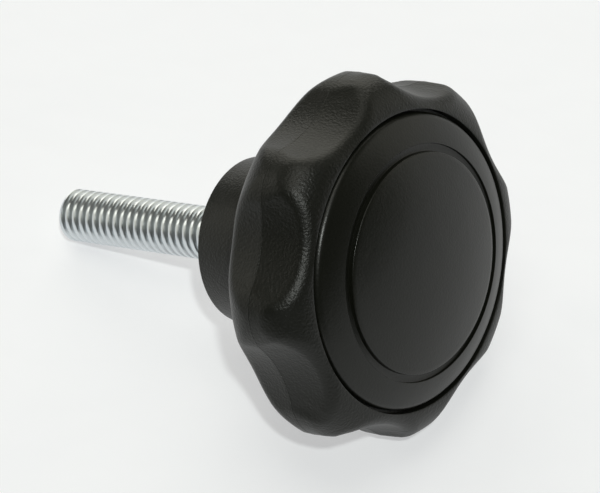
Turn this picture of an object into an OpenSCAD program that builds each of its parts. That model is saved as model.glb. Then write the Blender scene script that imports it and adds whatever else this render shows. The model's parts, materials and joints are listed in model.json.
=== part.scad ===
// Star knob with a covered face and a threaded stud, in millimetres.
// It lies as it comes to rest: on two lobes of the head and on the end of the stud.
// The origin is the centre of the hub's seating face, on the axis of the stud.

/* [Head] */
// Radius over the crests of the lobes
head_r = 27; // [24:0.5:32]
// Depth of the flutes between the lobes, at the widest part of the head
flute_depth = 2.8; // [2.2:0.1:3.6]
// Radius of a lobe seen from the front
lobe_r = 7.5; // [6.5:0.1:8.5]
// Height of the head, from the end of the hub to the rim
head_h = 17.8; // [15:0.1:24]

/* [Hub] */
// Radius of the hub
hub_r = 12.2; // [9:0.1:14]
// Height of the hub
hub_h = 11.9; // [6:0.1:20]

/* [Face cap] */
// Width of the head's rim and shoulder around the cap
shoulder_w = 5.5; // [5.2:0.1:7]
// Slope of the ring around the centre disc, in degrees
ring_slope = 22; // [15:1:26]
// Radius of the centre disc
disc_r = 15.7; // [12:0.1:16]
// Rise of the domed disc above its edge
crown = 2; // [0.5:0.1:3]

/* [Stud] */
// Radius over the thread
stud_r = 3.97; // [3:0.01:4.5]
// Length of the stud beyond the seating face
stud_l = 36.5; // [15:0.5:60]

/* [Hidden] */
$fn = 96;
slip = 0.1;

// heights along the knob's axis, from the seating face
head_top = hub_h + head_h;
band_low = hub_h + 0.58 * head_h;
band_top = head_top - 6.2;

// outline of the head: lobes, and flutes cut just past where they would touch the lobes
lobe_n = 8;
half = 180 / lobe_n;
lobe_c = head_r - lobe_r;
past_touch = 0.1;
floor_r = head_r - flute_depth + past_touch;
flute_r = (pow(lobe_c, 2) + pow(floor_r, 2) - 2 * lobe_c * floor_r * cos(half) - pow(lobe_r, 2))
    / (2 * (lobe_r - floor_r + lobe_c * cos(half)));
flute_c = floor_r + flute_r;
cut_r = flute_r + past_touch;
to_flute = [flute_c * cos(half) - lobe_c, flute_c * sin(half)];
meet = [lobe_c, 0] + lobe_r * to_flute / norm(to_flute);
// from the widest part of the head the flutes widen towards the rim, where they are this much deeper
rim_deeper = 1.2;
widening = rim_deeper / (head_top - band_low);

// profile of the head: a cone at the back, then a rounding, a band and a shoulder
back_round = 6.8;
back_c = [head_r - back_round, band_low];
to_back = back_c - [hub_r, hub_h];
cone_a = atan2(to_back[1], to_back[0]) - asin(back_round / norm(to_back));
cone_l = sqrt(pow(norm(to_back), 2) - pow(back_round, 2));
cone_end = [hub_r, hub_h] + cone_l * [cos(cone_a), sin(cone_a)];
rim_w = 0.3;
recess_r = head_r - shoulder_w;
rim_r = recess_r + rim_w;
front_x = (pow(head_r, 2) - pow(rim_r, 2) - pow(head_top - band_top, 2)) / (2 * (head_r - rim_r));
front_round = head_r - front_x;

// cap: a flange on a ledge, with a skirt inside the bore of the head
ledge_z = head_top - 1.6;
cap_r = recess_r - 0.45;
skirt_r = recess_r - 2.6;
skirt_w = 1.4;
skirt_h = 2.5;
ring_out = cap_r - 0.65;
groove_w = 1.15;
ring_in = disc_r + groove_w;
ring_low = head_top + 0.3;
ring_top = ring_low + (ring_out - ring_in) * tan(ring_slope);
disc_top = ring_top + 0.3;
groove_z = ring_top - 0.5;
cap_wall = 1.6;
dome_r = (pow(disc_r, 2) + pow(crown, 2)) / (2 * crown);
dome_z = disc_top + crown - dome_r;
inner_r = disc_r - 1.2;
ceiling_z = disc_top - 0.75 * cap_wall;
cavity_z = ledge_z - skirt_h - 0.4;

// screw: thread up to the seating face, thinner shank and hexagon head inside the knob
neck = 0.3;
shank_r = stud_r - 0.4;
head_af = 3.2 * stud_r;
head_t = 5.3;
seat_z = cavity_z + 0.75 - head_t;
tip_chamfer = 0.77;

// how the knob lies: the stud's end and the two lobes beside a flute touch the ground
touch = [head_r - 1.658, band_low - 3.495];
lean = atan((touch[0] - stud_r) / (touch[1] + stud_l - tip_chamfer));

module star() {
    difference() {
        union() {
            polygon([for (k = [0 : lobe_n - 1], s = [-1, 1])
                let (a = (2 * k + 1) * half + s * atan2(meet[1], meet[0])) norm(meet) * [cos(a), sin(a)]]);
            for (k = [0 : lobe_n - 1])
                rotate((2 * k + 1) * half) translate([lobe_c, 0]) circle(lobe_r);
        }
        for (k = [0 : lobe_n - 1])
            rotate(2 * k * half) translate([flute_c, 0]) circle(cut_r);
    }
}

module widening_flutes() {
    for (k = [0 : lobe_n - 1])
        rotate(2 * k * half) translate([flute_c, 0, band_low - 1])
            cylinder(h = head_h, r1 = cut_r - widening, r2 = cut_r + widening * (head_h - 1));
}

module head_profile() {
    difference() {
        union() {
            polygon([[0, hub_h], [hub_r, hub_h], cone_end, back_c, [head_r, band_low], [head_r, band_top],
                [front_x, band_top], [rim_r, head_top], [0, head_top]]);
            translate(back_c) circle(back_round);
            translate([front_x, band_top]) circle(front_round);
        }
        translate([0, head_top]) square([head_r, head_r]);
    }
}

module hexagon(af, h) {
    cylinder(h = h, r = af / 2 / cos(30), $fn = 6);
}

module knob_body() {
    color([0.11, 0.11, 0.11])
    difference() {
        union() {
            difference() {
                intersection() {
                    rotate_extrude() head_profile();
                    linear_extrude(head_top + 1) star();
                }
                widening_flutes();
            }
            cylinder(h = hub_h + 1, r = hub_r);
        }
        translate([0, 0, ledge_z]) cylinder(h = head_top, r = recess_r);
        translate([0, 0, cavity_z]) cylinder(h = head_top, r = skirt_r + slip);
        translate([0, 0, seat_z]) hexagon(head_af + 2 * slip, head_top);
        translate([0, 0, -1]) cylinder(h = head_top, r = stud_r + slip);
    }
}

module dome(r, w, low) {
    intersection() {
        translate([0, 0, dome_z]) sphere(r, $fn = 180);
        translate([0, 0, low]) cylinder(h = head_h, r = w);
    }
}

module face_cap() {
    color([0.16, 0.16, 0.16])
    difference() {
        union() {
            rotate_extrude() polygon([
                [0, groove_z], [ring_in, groove_z], [ring_in, ring_top],
                [ring_out, ring_low], [cap_r, ring_low - 0.5], [cap_r, ledge_z],
                [skirt_r, ledge_z], [skirt_r, ledge_z - skirt_h],
                [skirt_r - skirt_w, ledge_z - skirt_h], [skirt_r - skirt_w, ring_low - 1.1],
                [inner_r, ceiling_z], [0, ceiling_z]]);
            dome(dome_r, disc_r, groove_z - 0.2);
        }
        dome(dome_r - cap_wall, inner_r, ledge_z);
    }
}

module threaded_stud() {
    color([0.75, 0.76, 0.78])
    union() {
        translate([0, 0, -stud_l + tip_chamfer]) cylinder(h = stud_l - tip_chamfer - neck, r = stud_r);
        translate([0, 0, -neck - 1]) cylinder(h = seat_z + neck + 2, r = shank_r);
        translate([0, 0, -stud_l]) cylinder(h = tip_chamfer, r1 = stud_r - tip_chamfer, r2 = stud_r);
        translate([0, 0, seat_z]) hexagon(head_af, head_t);
    }
}

module lying() {
    rotate([0, 90 - lean, 0]) children();
}

lying() knob_body();
lying() face_cap();
lying() threaded_stud();
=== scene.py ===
import json
import math

import bmesh
import bpy
import numpy as np
from mathutils import Matrix, Vector


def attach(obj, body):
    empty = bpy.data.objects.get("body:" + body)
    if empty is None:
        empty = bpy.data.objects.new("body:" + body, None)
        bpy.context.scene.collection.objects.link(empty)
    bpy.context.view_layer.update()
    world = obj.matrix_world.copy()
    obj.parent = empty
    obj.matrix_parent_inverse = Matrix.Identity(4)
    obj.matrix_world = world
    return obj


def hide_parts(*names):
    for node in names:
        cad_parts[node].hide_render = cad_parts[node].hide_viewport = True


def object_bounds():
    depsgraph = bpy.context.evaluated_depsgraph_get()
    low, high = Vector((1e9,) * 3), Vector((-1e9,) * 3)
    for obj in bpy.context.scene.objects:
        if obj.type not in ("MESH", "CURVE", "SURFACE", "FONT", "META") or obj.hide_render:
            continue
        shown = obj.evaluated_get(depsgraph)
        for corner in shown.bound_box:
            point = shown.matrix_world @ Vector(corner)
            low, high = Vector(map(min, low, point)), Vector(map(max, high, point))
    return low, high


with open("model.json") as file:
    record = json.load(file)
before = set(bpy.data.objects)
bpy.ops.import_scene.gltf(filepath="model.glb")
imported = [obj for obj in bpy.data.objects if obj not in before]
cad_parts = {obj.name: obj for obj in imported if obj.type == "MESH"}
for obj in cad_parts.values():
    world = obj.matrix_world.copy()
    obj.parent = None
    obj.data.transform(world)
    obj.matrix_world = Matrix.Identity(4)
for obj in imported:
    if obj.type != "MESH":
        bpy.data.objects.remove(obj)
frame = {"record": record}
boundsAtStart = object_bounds()
print("frame loaded")

mm = 0.001

# in mm: how far off a point may be to count as being there, and how near points are merged
closeBy = 0.01
mergeGap = 0.002

# pieces are made upright on the stud's axis, in mm from the hub's seating face, then laid down
stud = next(m for m in frame["record"]["mounts"] if m["name"] == "stud")
faceAxis = -Vector(stud["axis"])
layDown = Matrix.Rotation(math.pi / 2 - math.asin(faceAxis.z), 4, "Y") @ Matrix.Scale(mm, 4)


def drawProfile(bm, points, closed=False):
    verts = [bm.verts.new((r, 0, z)) for r, z in points]
    pairs = list(zip(verts, verts[1:]))
    if closed:
        pairs.append((verts[-1], verts[0]))
    edges = [bm.edges.new(pair) for pair in pairs]
    return verts, edges


def arcPoints(centre, radius, start, end, count):
    angles = np.radians(np.linspace(start, end, count))
    return [(centre[0] + radius * math.cos(a), centre[1] + radius * math.sin(a)) for a in angles]


def linePoints(start, end, count):
    dr, dz = end[0] - start[0], end[1] - start[1]
    return [(start[0] + dr * s, start[1] + dz * s) for s in np.linspace(0, 1, count)]


def roundCorners(bm, corners, width, segments=3):
    # corners are (r, z) of profile points
    verts = [v for v in bm.verts
             if any(math.hypot(v.co.x - r, v.co.z - z) < closeBy for r, z in corners)]
    bmesh.ops.bevel(bm, geom=verts, offset=width, offset_type="OFFSET", segments=segments,
                    profile=0.5, affect="VERTICES", material=-1)


def spinProfile(bm, steps):
    bmesh.ops.spin(bm, geom=bm.verts[:] + bm.edges[:], cent=(0, 0, 0), axis=(0, 0, 1),
                   angle=math.tau, steps=steps, use_merge=True)
    bmesh.ops.remove_doubles(bm, verts=bm.verts, dist=mergeGap)


def layPiece(bm, name, node, smoothAngle=35):
    bmesh.ops.transform(bm, matrix=layDown, verts=bm.verts)
    bmesh.ops.recalc_face_normals(bm, faces=bm.faces)
    mesh = bpy.data.meshes.new(name)
    bm.to_mesh(mesh)
    bm.free()
    piece = bpy.data.objects.new(name, mesh)
    bpy.context.scene.collection.objects.link(piece)
    mesh.shade_smooth()
    mesh.set_sharp_from_angle(angle=math.radians(smoothAngle))
    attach(piece, "root")
    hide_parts(node)
    return piece


# the moulded body: lobed head, hub, recess, socket and bore
head = {
    "crestR": 27.0,
    "floorR": 24.2,
    "lobeR": 7.5,
    "lobes": 8,
    "pastTouch": 0.1,
    "rimDeeper": 1.2,
    "low": 22.224,
    "high": 23.5,
    "top": 29.7,
    "backRound": 6.8,
    "partingZ": 22.3,
    "draft": 1.0,
    "seamHeight": 0.02,
    "edgeRound": 2.0,
    "flankRound": 0.8,
    "hubR": 12.2,
    "hubTop": 11.9,
    "rimR": 21.8,
    "recessR": 21.5,
    "ledgeZ": 28.1,
    "cavityR": 19.0,
    "cavityZ": 25.2,
    "socketZ": 20.65,
    "socketFlats": 12.904,
    "boreR": 4.07,
    "steps": 384,
    "coneSteps": 30,
    "backSteps": 22,
    "frontSteps": 44,
}


def headProfile(h):
    # the turned shape before the flutes are cut: the cone's angle, the centres of both roundings
    backC = (h["crestR"] - h["backRound"], h["low"])
    dx, dz = backC[0] - h["hubR"], backC[1] - h["hubTop"]
    reach = math.hypot(dx, dz)
    cone = math.atan2(dz, dx) - math.asin(h["backRound"] / reach)
    rise = h["top"] - h["high"]
    frontX = (h["crestR"] ** 2 - h["rimR"] ** 2 - rise ** 2) / (2 * (h["crestR"] - h["rimR"]))
    frontC = (frontX, h["high"])
    return backC, cone, frontC, h["crestR"] - frontX


def profileDistance(h, r, z):
    # distance outside the turned shape, and the outward normal's radial part
    backC, cone, frontC, frontRound = headProfile(h)
    out = r - h["crestR"]
    lean = np.ones_like(r)
    dx, dz = r - frontC[0], z - frontC[1]
    reach = np.hypot(dx, dz)
    front = z > frontC[1]
    out[front] = (reach - frontRound)[front]
    lean[front] = (dx / reach)[front]
    dx, dz = r - backC[0], z - backC[1]
    reach = np.hypot(dx, dz)
    back = z < backC[1]
    out[back] = (reach - h["backRound"])[back]
    lean[back] = (dx / reach)[back]
    normal = (math.sin(cone), -math.cos(cone))
    along = dx * math.cos(cone) + dz * math.sin(cone)
    onCone = back & (along < 0)
    out[onCone] = ((r - h["hubR"]) * normal[0] + (z - h["hubTop"]) * normal[1])[onCone]
    lean[onCone] = normal[0]
    return out, lean


def starDistance(h, r, turn, z):
    # distance outside the lobed outline, and its normal's radial part; flutes widen to the rim
    half = math.pi / h["lobes"]
    lobeC = h["crestR"] - h["lobeR"]
    floorR = h["floorR"] + h["pastTouch"]
    fluteR = ((lobeC ** 2 + floorR ** 2 - 2 * lobeC * floorR * math.cos(half) - h["lobeR"] ** 2)
              / (2 * (h["lobeR"] - floorR + lobeC * math.cos(half))))
    fluteC = floorR + fluteR
    off = np.abs((turn + half) % (2 * half) - half)
    x, y = r * np.cos(off), r * np.sin(off)
    lobe = np.array((lobeC * math.cos(half), lobeC * math.sin(half)))
    flute = np.array((fluteC, 0.0))
    across = (flute[0] - lobe[0]) * (y - lobe[1]) - (flute[1] - lobe[1]) * (x - lobe[0])
    dLobe = np.maximum(np.hypot(x - lobe[0], y - lobe[1]), 1e-6)
    dFlute = np.hypot(x - flute[0], y - flute[1])
    wider = np.maximum(z - h["low"], 0) * h["rimDeeper"] / (h["top"] - h["low"])
    toLobe = np.where(across > 0, dLobe - h["lobeR"], -h["lobeR"])
    toFlute = fluteR + h["pastTouch"] + wider - dFlute
    share = np.clip(0.5 + (toLobe - toFlute) / (2 * h["flankRound"]), 0, 1)
    share = np.where(across > 0, share, 0)
    nx = share * (x - lobe[0]) / dLobe + (1 - share) * (flute[0] - x) / dFlute
    ny = share * (y - lobe[1]) / dLobe + (1 - share) * (flute[1] - y) / dFlute
    lean = (nx * x + ny * y) / np.maximum(r, 1e-6)
    out = np.maximum(toLobe, toFlute) + share * (1 - share) * h["flankRound"] * np.minimum(wider, 1)
    out = out + np.abs(z - h["partingZ"]) * math.tan(math.radians(h["draft"]))
    return out, lean


def headDistance(h, r, turn, z):
    # both shapes together, with the edge between them rounded where they meet at an angle
    a, leanA = profileDistance(h, r, z)
    b, leanB = starDistance(h, r, turn, z)
    k = h["edgeRound"] * np.clip(1 - leanA * leanB, 0.0, 1.0)
    corner = np.hypot(np.maximum(a + k, 0), np.maximum(b + k, 0)) - k
    return np.maximum(np.minimum(np.maximum(a, b), -k), corner)


def cutFlutes(bm, h):
    # outer points of the head slide towards a ring inside it until they lie on the fluted shape
    verts = [v for v in bm.verts if v.co.z > h["hubTop"] + closeBy and
             math.hypot(v.co.x, v.co.y) > h["hubR"] and
             (math.hypot(v.co.x, v.co.y) > h["recessR"] + 0.15 or v.co.z < h["socketZ"])]
    co = np.array([v.co for v in verts])
    turn = np.arctan2(co[:, 1], co[:, 0])
    r, z = np.hypot(co[:, 0], co[:, 1]), co[:, 2]
    ringR, ringZ = h["cavityR"], h["partingZ"]
    near, far = np.zeros_like(r), np.ones_like(r)
    for _ in range(24):
        mid = (near + far) / 2
        inside = headDistance(h, ringR + (r - ringR) * mid, turn, ringZ + (z - ringZ) * mid) <= 0
        near = np.where(inside, mid, near)
        far = np.where(inside, far, mid)
    newR = ringR + (r - ringR) * far
    newZ = ringZ + (z - ringZ) * far
    newR = newR + h["seamHeight"] * (np.abs(z - h["partingZ"]) < closeBy)
    for v, cr, cz, t in zip(verts, newR, newZ, turn):
        v.co = (cr * math.cos(t), cr * math.sin(t), cz)


def cutSocket(bm, h):
    # the round socket wall is pulled in to a hexagon
    radius = h["socketFlats"] / 2 / math.cos(math.pi / 6)
    for v in bm.verts:
        onWall = abs(math.hypot(v.co.x, v.co.y) - radius) < closeBy
        if onWall and v.co.z > h["socketZ"] - closeBy:
            t = math.atan2(v.co.y, v.co.x) % (math.pi / 3) - math.pi / 6
            share = math.cos(math.pi / 6) / math.cos(t)
            v.co.x *= share
            v.co.y *= share


def makeBody(h):
    backC, cone, frontC, frontRound = headProfile(h)
    socketR = h["socketFlats"] / 2 / math.cos(math.pi / 6)
    coneEnd = (backC[0] + h["backRound"] * math.sin(cone),
               backC[1] - h["backRound"] * math.cos(cone))
    rimAngle = math.degrees(math.acos((h["rimR"] - frontC[0]) / frontRound))
    outer = [(h["boreR"], h["socketZ"]), (h["boreR"], 0), (h["hubR"], 0), (h["hubR"], h["hubTop"])]
    outer += linePoints((h["hubR"], h["hubTop"]), coneEnd, h["coneSteps"])[1:]
    outer += arcPoints(backC, h["backRound"], math.degrees(cone) - 90, 0, h["backSteps"])[1:]
    outer += [(h["crestR"], h["partingZ"] + d) for d in (-0.04, 0, 0.04)]
    outer += [(h["crestR"], 22.5), (h["crestR"], 22.8), (h["crestR"], 23.15)]
    outer += arcPoints(frontC, frontRound, 0, rimAngle, h["frontSteps"])
    inner = [(h["recessR"], h["top"]), (h["recessR"], h["ledgeZ"]), (h["cavityR"], h["ledgeZ"]),
             (h["cavityR"], h["cavityZ"]), (socketR, h["cavityZ"]), (socketR, h["socketZ"])]
    bm = bmesh.new()
    drawProfile(bm, outer + inner, closed=True)
    roundCorners(bm, [(h["hubR"], 0)], 0.25)
    roundCorners(bm, [(h["rimR"], h["top"]), (h["recessR"], h["top"])], 0.1, 2)
    spinProfile(bm, h["steps"])
    cutFlutes(bm, h)
    cutSocket(bm, h)
    return layPiece(bm, "fluted_body", "knob_body")


body = makeBody(head)
print("body made")

# the cover in the face: sloping ring, groove and domed disc, with a flange and a skirt behind
cap = {
    "discR": 15.7,
    "crown": 2.0,
    "discTop": 31.734,
    "grooveR": 16.85,
    "grooveZ": 30.934,
    "ringTop": 31.434,
    "ringR": 20.4,
    "ringLow": 30.0,
    "edgeR": 21.05,
    "edgeZ": 29.5,
    "ledgeZ": 28.1,
    "skirtR": 18.9,
    "skirtEnd": 25.6,
    "skirtW": 1.4,
    "wall": 1.6,
    "steps": 256,
}


def makeCap(c):
    inside = c["skirtR"] - c["skirtW"]
    domeR = (c["discR"] ** 2 + c["crown"] ** 2) / (2 * c["crown"])
    domeC = (0, c["discTop"] + c["crown"] - domeR)
    edgeAngle = math.degrees(math.acos(c["discR"] / domeR))
    underR, ceiling = c["discR"] - 1.2, c["discTop"] - 0.75 * c["wall"]
    underAngle = math.degrees(math.asin((ceiling - domeC[1]) / (domeR - c["wall"])))
    groove = [(c["discR"], c["grooveZ"]), (c["grooveR"], c["grooveZ"])]
    ring = [(c["grooveR"], c["ringTop"]), (c["ringR"], c["ringLow"]), (c["edgeR"], c["edgeZ"])]
    flange = [(c["edgeR"], c["ledgeZ"]), (c["skirtR"], c["ledgeZ"]), (c["skirtR"], c["skirtEnd"]),
              (inside, c["skirtEnd"])]
    points = arcPoints(domeC, domeR, 90, edgeAngle, 24) + groove + ring + flange
    points += [(inside, c["ringLow"] - 1.1), (underR, ceiling)]
    points += arcPoints(domeC, domeR - c["wall"], underAngle, 90, 12)
    bm = bmesh.new()
    drawProfile(bm, points)
    roundCorners(bm, [(c["discR"], c["discTop"]), ring[0]], 0.12)
    roundCorners(bm, groove, 0.15, 2)
    roundCorners(bm, ring[1:2], 0.25)
    roundCorners(bm, ring[2:], 0.5, 5)
    roundCorners(bm, [flange[0], flange[2], flange[3]], 0.15, 2)
    spinProfile(bm, c["steps"])
    return layPiece(bm, "ring_cap", "face_cap")


cover = makeCap(cap)
print("cap made")

# the plated screw: rolled thread to the hub, plain shank and hexagon head inside
screw = {
    "r": 3.97,
    "rootR": 3.45,
    "pitch": 1.411,
    "crestHalf": 0.34,
    "rootHalf": 0.08,
    "crestDrop": 0.03,
    "edgeDrop": 0.09,
    "edgeWidth": 0.05,
    "crestRound": 0.1,
    "length": 36.5,
    "tipR": 3.2,
    "threadEnd": 3.0,
    "shankR": 3.57,
    "seatZ": 20.65,
    "headT": 5.3,
    "flats": 12.704,
    "headRound": 0.25,
    "stepsPerTurn": 60,
}


def addPrism(bm, sides, radius, low, high):
    middle = Matrix.Translation((0, 0, (low + high) / 2))
    made = bmesh.ops.create_cone(bm, cap_ends=True, segments=sides, radius1=radius,
                                 radius2=radius, depth=high - low, matrix=middle)
    return made["verts"]


def makeScrew(s):
    bm = bmesh.new()
    mid = s["pitch"] / 2
    turns = math.ceil((s["length"] + s["threadEnd"]) / s["pitch"]) + 3
    start = -s["length"] - 1.5 * s["pitch"]
    # one tooth, its flat crest rounded off in two steps on both sides
    half, edge = s["crestHalf"], s["crestHalf"] + s["edgeWidth"]
    rise = [(s["rootR"], s["rootHalf"]), (s["r"] - s["edgeDrop"], mid - edge),
            (s["r"] - s["crestDrop"], mid - half), (s["r"], mid - half + s["crestRound"])]
    tooth = rise + [(r, s["pitch"] - z) for r, z in reversed(rise)]
    tooth.append((s["rootR"], s["pitch"] + s["rootHalf"]))
    drawProfile(bm, [(r, z + start) for r, z in tooth])
    steps = turns * s["stepsPerTurn"]
    bmesh.ops.spin(bm, geom=bm.verts[:] + bm.edges[:], cent=(0, 0, 0), axis=(0, 0, 1),
                   dvec=(0, 0, s["pitch"] / s["stepsPerTurn"]), angle=turns * math.tau, steps=steps,
                   use_merge=False)
    bmesh.ops.remove_doubles(bm, verts=bm.verts, dist=mergeGap)
    for z, clearAbove in ((s["threadEnd"], True), (-s["length"], False)):
        geom = bm.verts[:] + bm.edges[:] + bm.faces[:]
        cut = bmesh.ops.bisect_plane(bm, geom=geom, dist=1e-5, plane_co=(0, 0, z),
                                     plane_no=(0, 0, 1), clear_outer=clearAbove,
                                     clear_inner=not clearAbove)
        rim = [e for e in cut["geom_cut"] if isinstance(e, bmesh.types.BMEdge)]
        bmesh.ops.contextual_create(bm, geom=rim)
    for v in bm.verts:
        # the end is turned down to a short cone
        limit = s["tipR"] + v.co.z + s["length"]
        reach = math.hypot(v.co.x, v.co.y)
        if reach > limit:
            v.co.x *= limit / reach
            v.co.y *= limit / reach
    addPrism(bm, 64, s["shankR"], s["threadEnd"], s["seatZ"])
    hexR = s["flats"] / 2 / math.cos(math.pi / 6)
    made = addPrism(bm, 6, hexR, s["seatZ"], s["seatZ"] + s["headT"])
    edges = {e for v in made for e in v.link_edges}
    bmesh.ops.bevel(bm, geom=list(edges), offset=s["headRound"], segments=2, profile=0.5,
                    affect="EDGES", material=-1)
    return layPiece(bm, "rolled_screw", "threaded_stud", 30)


bolt = makeScrew(screw)
print("screw made")


# materials
def newMaterial(name):
    material = bpy.data.materials.new(name)
    material.use_nodes = True
    tree = material.node_tree
    return material, tree, tree.nodes["Principled BSDF"]


def addNode(tree, kind, **values):
    node = tree.nodes.new(kind)
    for key, value in values.items():
        setattr(node, key, value)
    return node


def objectNoise(tree, scale, detail=2.0, roughness=0.5):
    place = addNode(tree, "ShaderNodeTexCoord")
    noise = addNode(tree, "ShaderNodeTexNoise")
    noise.inputs["Scale"].default_value = scale
    noise.inputs["Detail"].default_value = detail
    noise.inputs["Roughness"].default_value = roughness
    tree.links.new(place.outputs["Object"], noise.inputs["Vector"])
    return noise.outputs["Fac"]


def addBump(tree, height, strength, distance, normal=None):
    bump = addNode(tree, "ShaderNodeBump")
    bump.inputs["Strength"].default_value = strength
    bump.inputs["Distance"].default_value = distance
    tree.links.new(height, bump.inputs["Height"])
    if normal:
        tree.links.new(normal, bump.inputs["Normal"])
    return bump.outputs["Normal"]


plastic = {
    "color": (0.0055, 0.006, 0.004, 1),
    "roughness": 0.42,
    "specular": 0.3,
    "grainScale": 2800.0,
    "grainHeight": 0.00007,
    "waveScale": 260.0,
    "waveHeight": 0.00003,
}


def blackPlastic(name, p):
    material, tree, shader = newMaterial(name)
    shader.inputs["Base Color"].default_value = p["color"]
    shader.inputs["Roughness"].default_value = p["roughness"]
    shader.inputs["Specular IOR Level"].default_value = p["specular"]
    normal = addBump(tree, objectNoise(tree, p["waveScale"]), 1.0, p["waveHeight"])
    normal = addBump(tree, objectNoise(tree, p["grainScale"], 1.0), 1.0, p["grainHeight"], normal)
    tree.links.new(normal, shader.inputs["Normal"])
    return material


body.data.materials.append(blackPlastic("moulded_black", plastic))
smoother = dict(plastic, roughness=0.32, grainHeight=0.000015)
cover.data.materials.append(blackPlastic("cap_black", smoother))

zinc = {
    "color": (0.63, 0.67, 0.69, 1),
    "roughness": 0.28,
    "grainScale": 900.0,
    "grainHeight": 0.00002,
}


def zincPlate(name, p):
    material, tree, shader = newMaterial(name)
    shader.inputs["Base Color"].default_value = p["color"]
    shader.inputs["Metallic"].default_value = 1.0
    shader.inputs["Roughness"].default_value = p["roughness"]
    normal = addBump(tree, objectNoise(tree, p["grainScale"], 3.0), 1.0, p["grainHeight"])
    tree.links.new(normal, shader.inputs["Normal"])
    return material


bolt.data.materials.append(zincPlate("bright_zinc", zinc))
print("materials made")

# floor, light and camera
ground = {
    "size": 2.4,
    "color": (0.93, 0.94, 0.98, 1),
    "glow": 0.48,
    "glowColor": (0.97, 0.98, 0.99, 1),
    "foldScale": 14.0,
    "foldHeight": 0.006,
}


def makeGround(g):
    bm = bmesh.new()
    bmesh.ops.create_grid(bm, x_segments=8, y_segments=8, size=g["size"] / 2)
    mesh = bpy.data.meshes.new("ground")
    bm.to_mesh(mesh)
    bm.free()
    floor = bpy.data.objects.new("ground", mesh)
    floor.location.z = boundsAtStart[0][2]
    bpy.context.scene.collection.objects.link(floor)
    material, tree, shader = newMaterial("white_cloth")
    shader.inputs["Base Color"].default_value = g["color"]
    shader.inputs["Roughness"].default_value = 0.9
    shader.inputs["Specular IOR Level"].default_value = 0.1
    normal = addBump(tree, objectNoise(tree, g["foldScale"], 4.0), 0.8, g["foldHeight"])
    tree.links.new(normal, shader.inputs["Normal"])
    # seen directly, in a reflection or through something, the cloth is lifted towards white
    glow = addNode(tree, "ShaderNodeEmission")
    glow.inputs["Color"].default_value = g["glowColor"]
    path = addNode(tree, "ShaderNodeLightPath")
    share = None
    for ray in ("Is Camera Ray", "Is Glossy Ray", "Is Transmission Ray"):
        step = addNode(tree, "ShaderNodeMath", operation="MULTIPLY_ADD")
        step.inputs[1].default_value = g["glow"]
        step.inputs[2].default_value = 0
        tree.links.new(path.outputs[ray], step.inputs[0])
        if share:
            tree.links.new(share, step.inputs[2])
        share = step.outputs["Value"]
    blend = addNode(tree, "ShaderNodeMixShader")
    tree.links.new(share, blend.inputs["Fac"])
    tree.links.new(shader.outputs["BSDF"], blend.inputs[1])
    tree.links.new(glow.outputs["Emission"], blend.inputs[2])
    tree.links.new(blend.outputs["Shader"], tree.nodes["Material Output"].inputs["Surface"])
    mesh.materials.append(material)


makeGround(ground)

view = {
    "place": (0.194852, -0.248832, 0.365640),
    "turn": (40.4739, 3.9152, 32.2903),
    "lens": 199.09,
}
camera = bpy.data.objects.new("camera", bpy.data.cameras.new("camera"))
camera.location = view["place"]
camera.rotation_euler = [math.radians(a) for a in view["turn"]]
camera.data.lens = view["lens"]
camera.data.sensor_width = 36
camera.data.clip_start = 0.01
bpy.context.scene.collection.objects.link(camera)
bpy.context.scene.camera = camera
bpy.context.view_layer.update()

light = {
    "right": 3.0,
    "up": 8.0,
    "distance": 1.5,
    "size": 0.06,
    "power": 10.2,
    "color": (0.96, 1.0, 0.95),
    # azimuth and height in degrees, size, power
    "panels": (
        (0, 90, 0.7, 3.7),
        (122, 30, 1.3, 9.5),
        (55, 16, 0.9, 2.4),
        (205, 15, 1.0, 2.6),
        (190, 28, 0.4, 1.0),
    ),
    "panelDistance": 1.3,
    "warm": (1.0, 0.98, 0.88),
    "sky": 0.03,
}


def addLamp(name, shape, size, power, color, place):
    lamp = bpy.data.objects.new(name, bpy.data.lights.new(name, "AREA"))
    lamp.data.shape = shape
    lamp.data.size = size
    lamp.data.energy = power
    lamp.data.color = color
    lamp.location = place
    lamp.rotation_euler = Vector(place).to_track_quat("Z", "Y").to_euler()
    bpy.context.scene.collection.objects.link(lamp)


def makeLight(g):
    # a small lamp beside the camera, pale panels above, behind and at both sides, and a dim room
    turn = camera.matrix_world.to_3x3()
    way = camera.location.normalized()
    way += turn.col[0] * math.tan(math.radians(g["right"]))
    way += turn.col[1] * math.tan(math.radians(g["up"]))
    addLamp("lamp", "DISK", g["size"], g["power"], g["color"], way.normalized() * g["distance"])
    for i, (azimuth, height, size, power) in enumerate(g["panels"]):
        a, e = math.radians(azimuth), math.radians(height)
        way = Vector((math.cos(a) * math.cos(e), math.sin(a) * math.cos(e), math.sin(e)))
        addLamp(f"panel{i + 1}", "SQUARE", size, power, g["warm"], way * g["panelDistance"])
    world = bpy.data.worlds.new("room")
    world.use_nodes = True
    world.node_tree.nodes["Background"].inputs["Color"].default_value = (*g["warm"], 1)
    world.node_tree.nodes["Background"].inputs["Strength"].default_value = g["sky"]
    bpy.context.scene.world = world


makeLight(light)
bpy.context.scene.view_settings.view_transform = "Standard"
print("floor, lamp and camera placed")
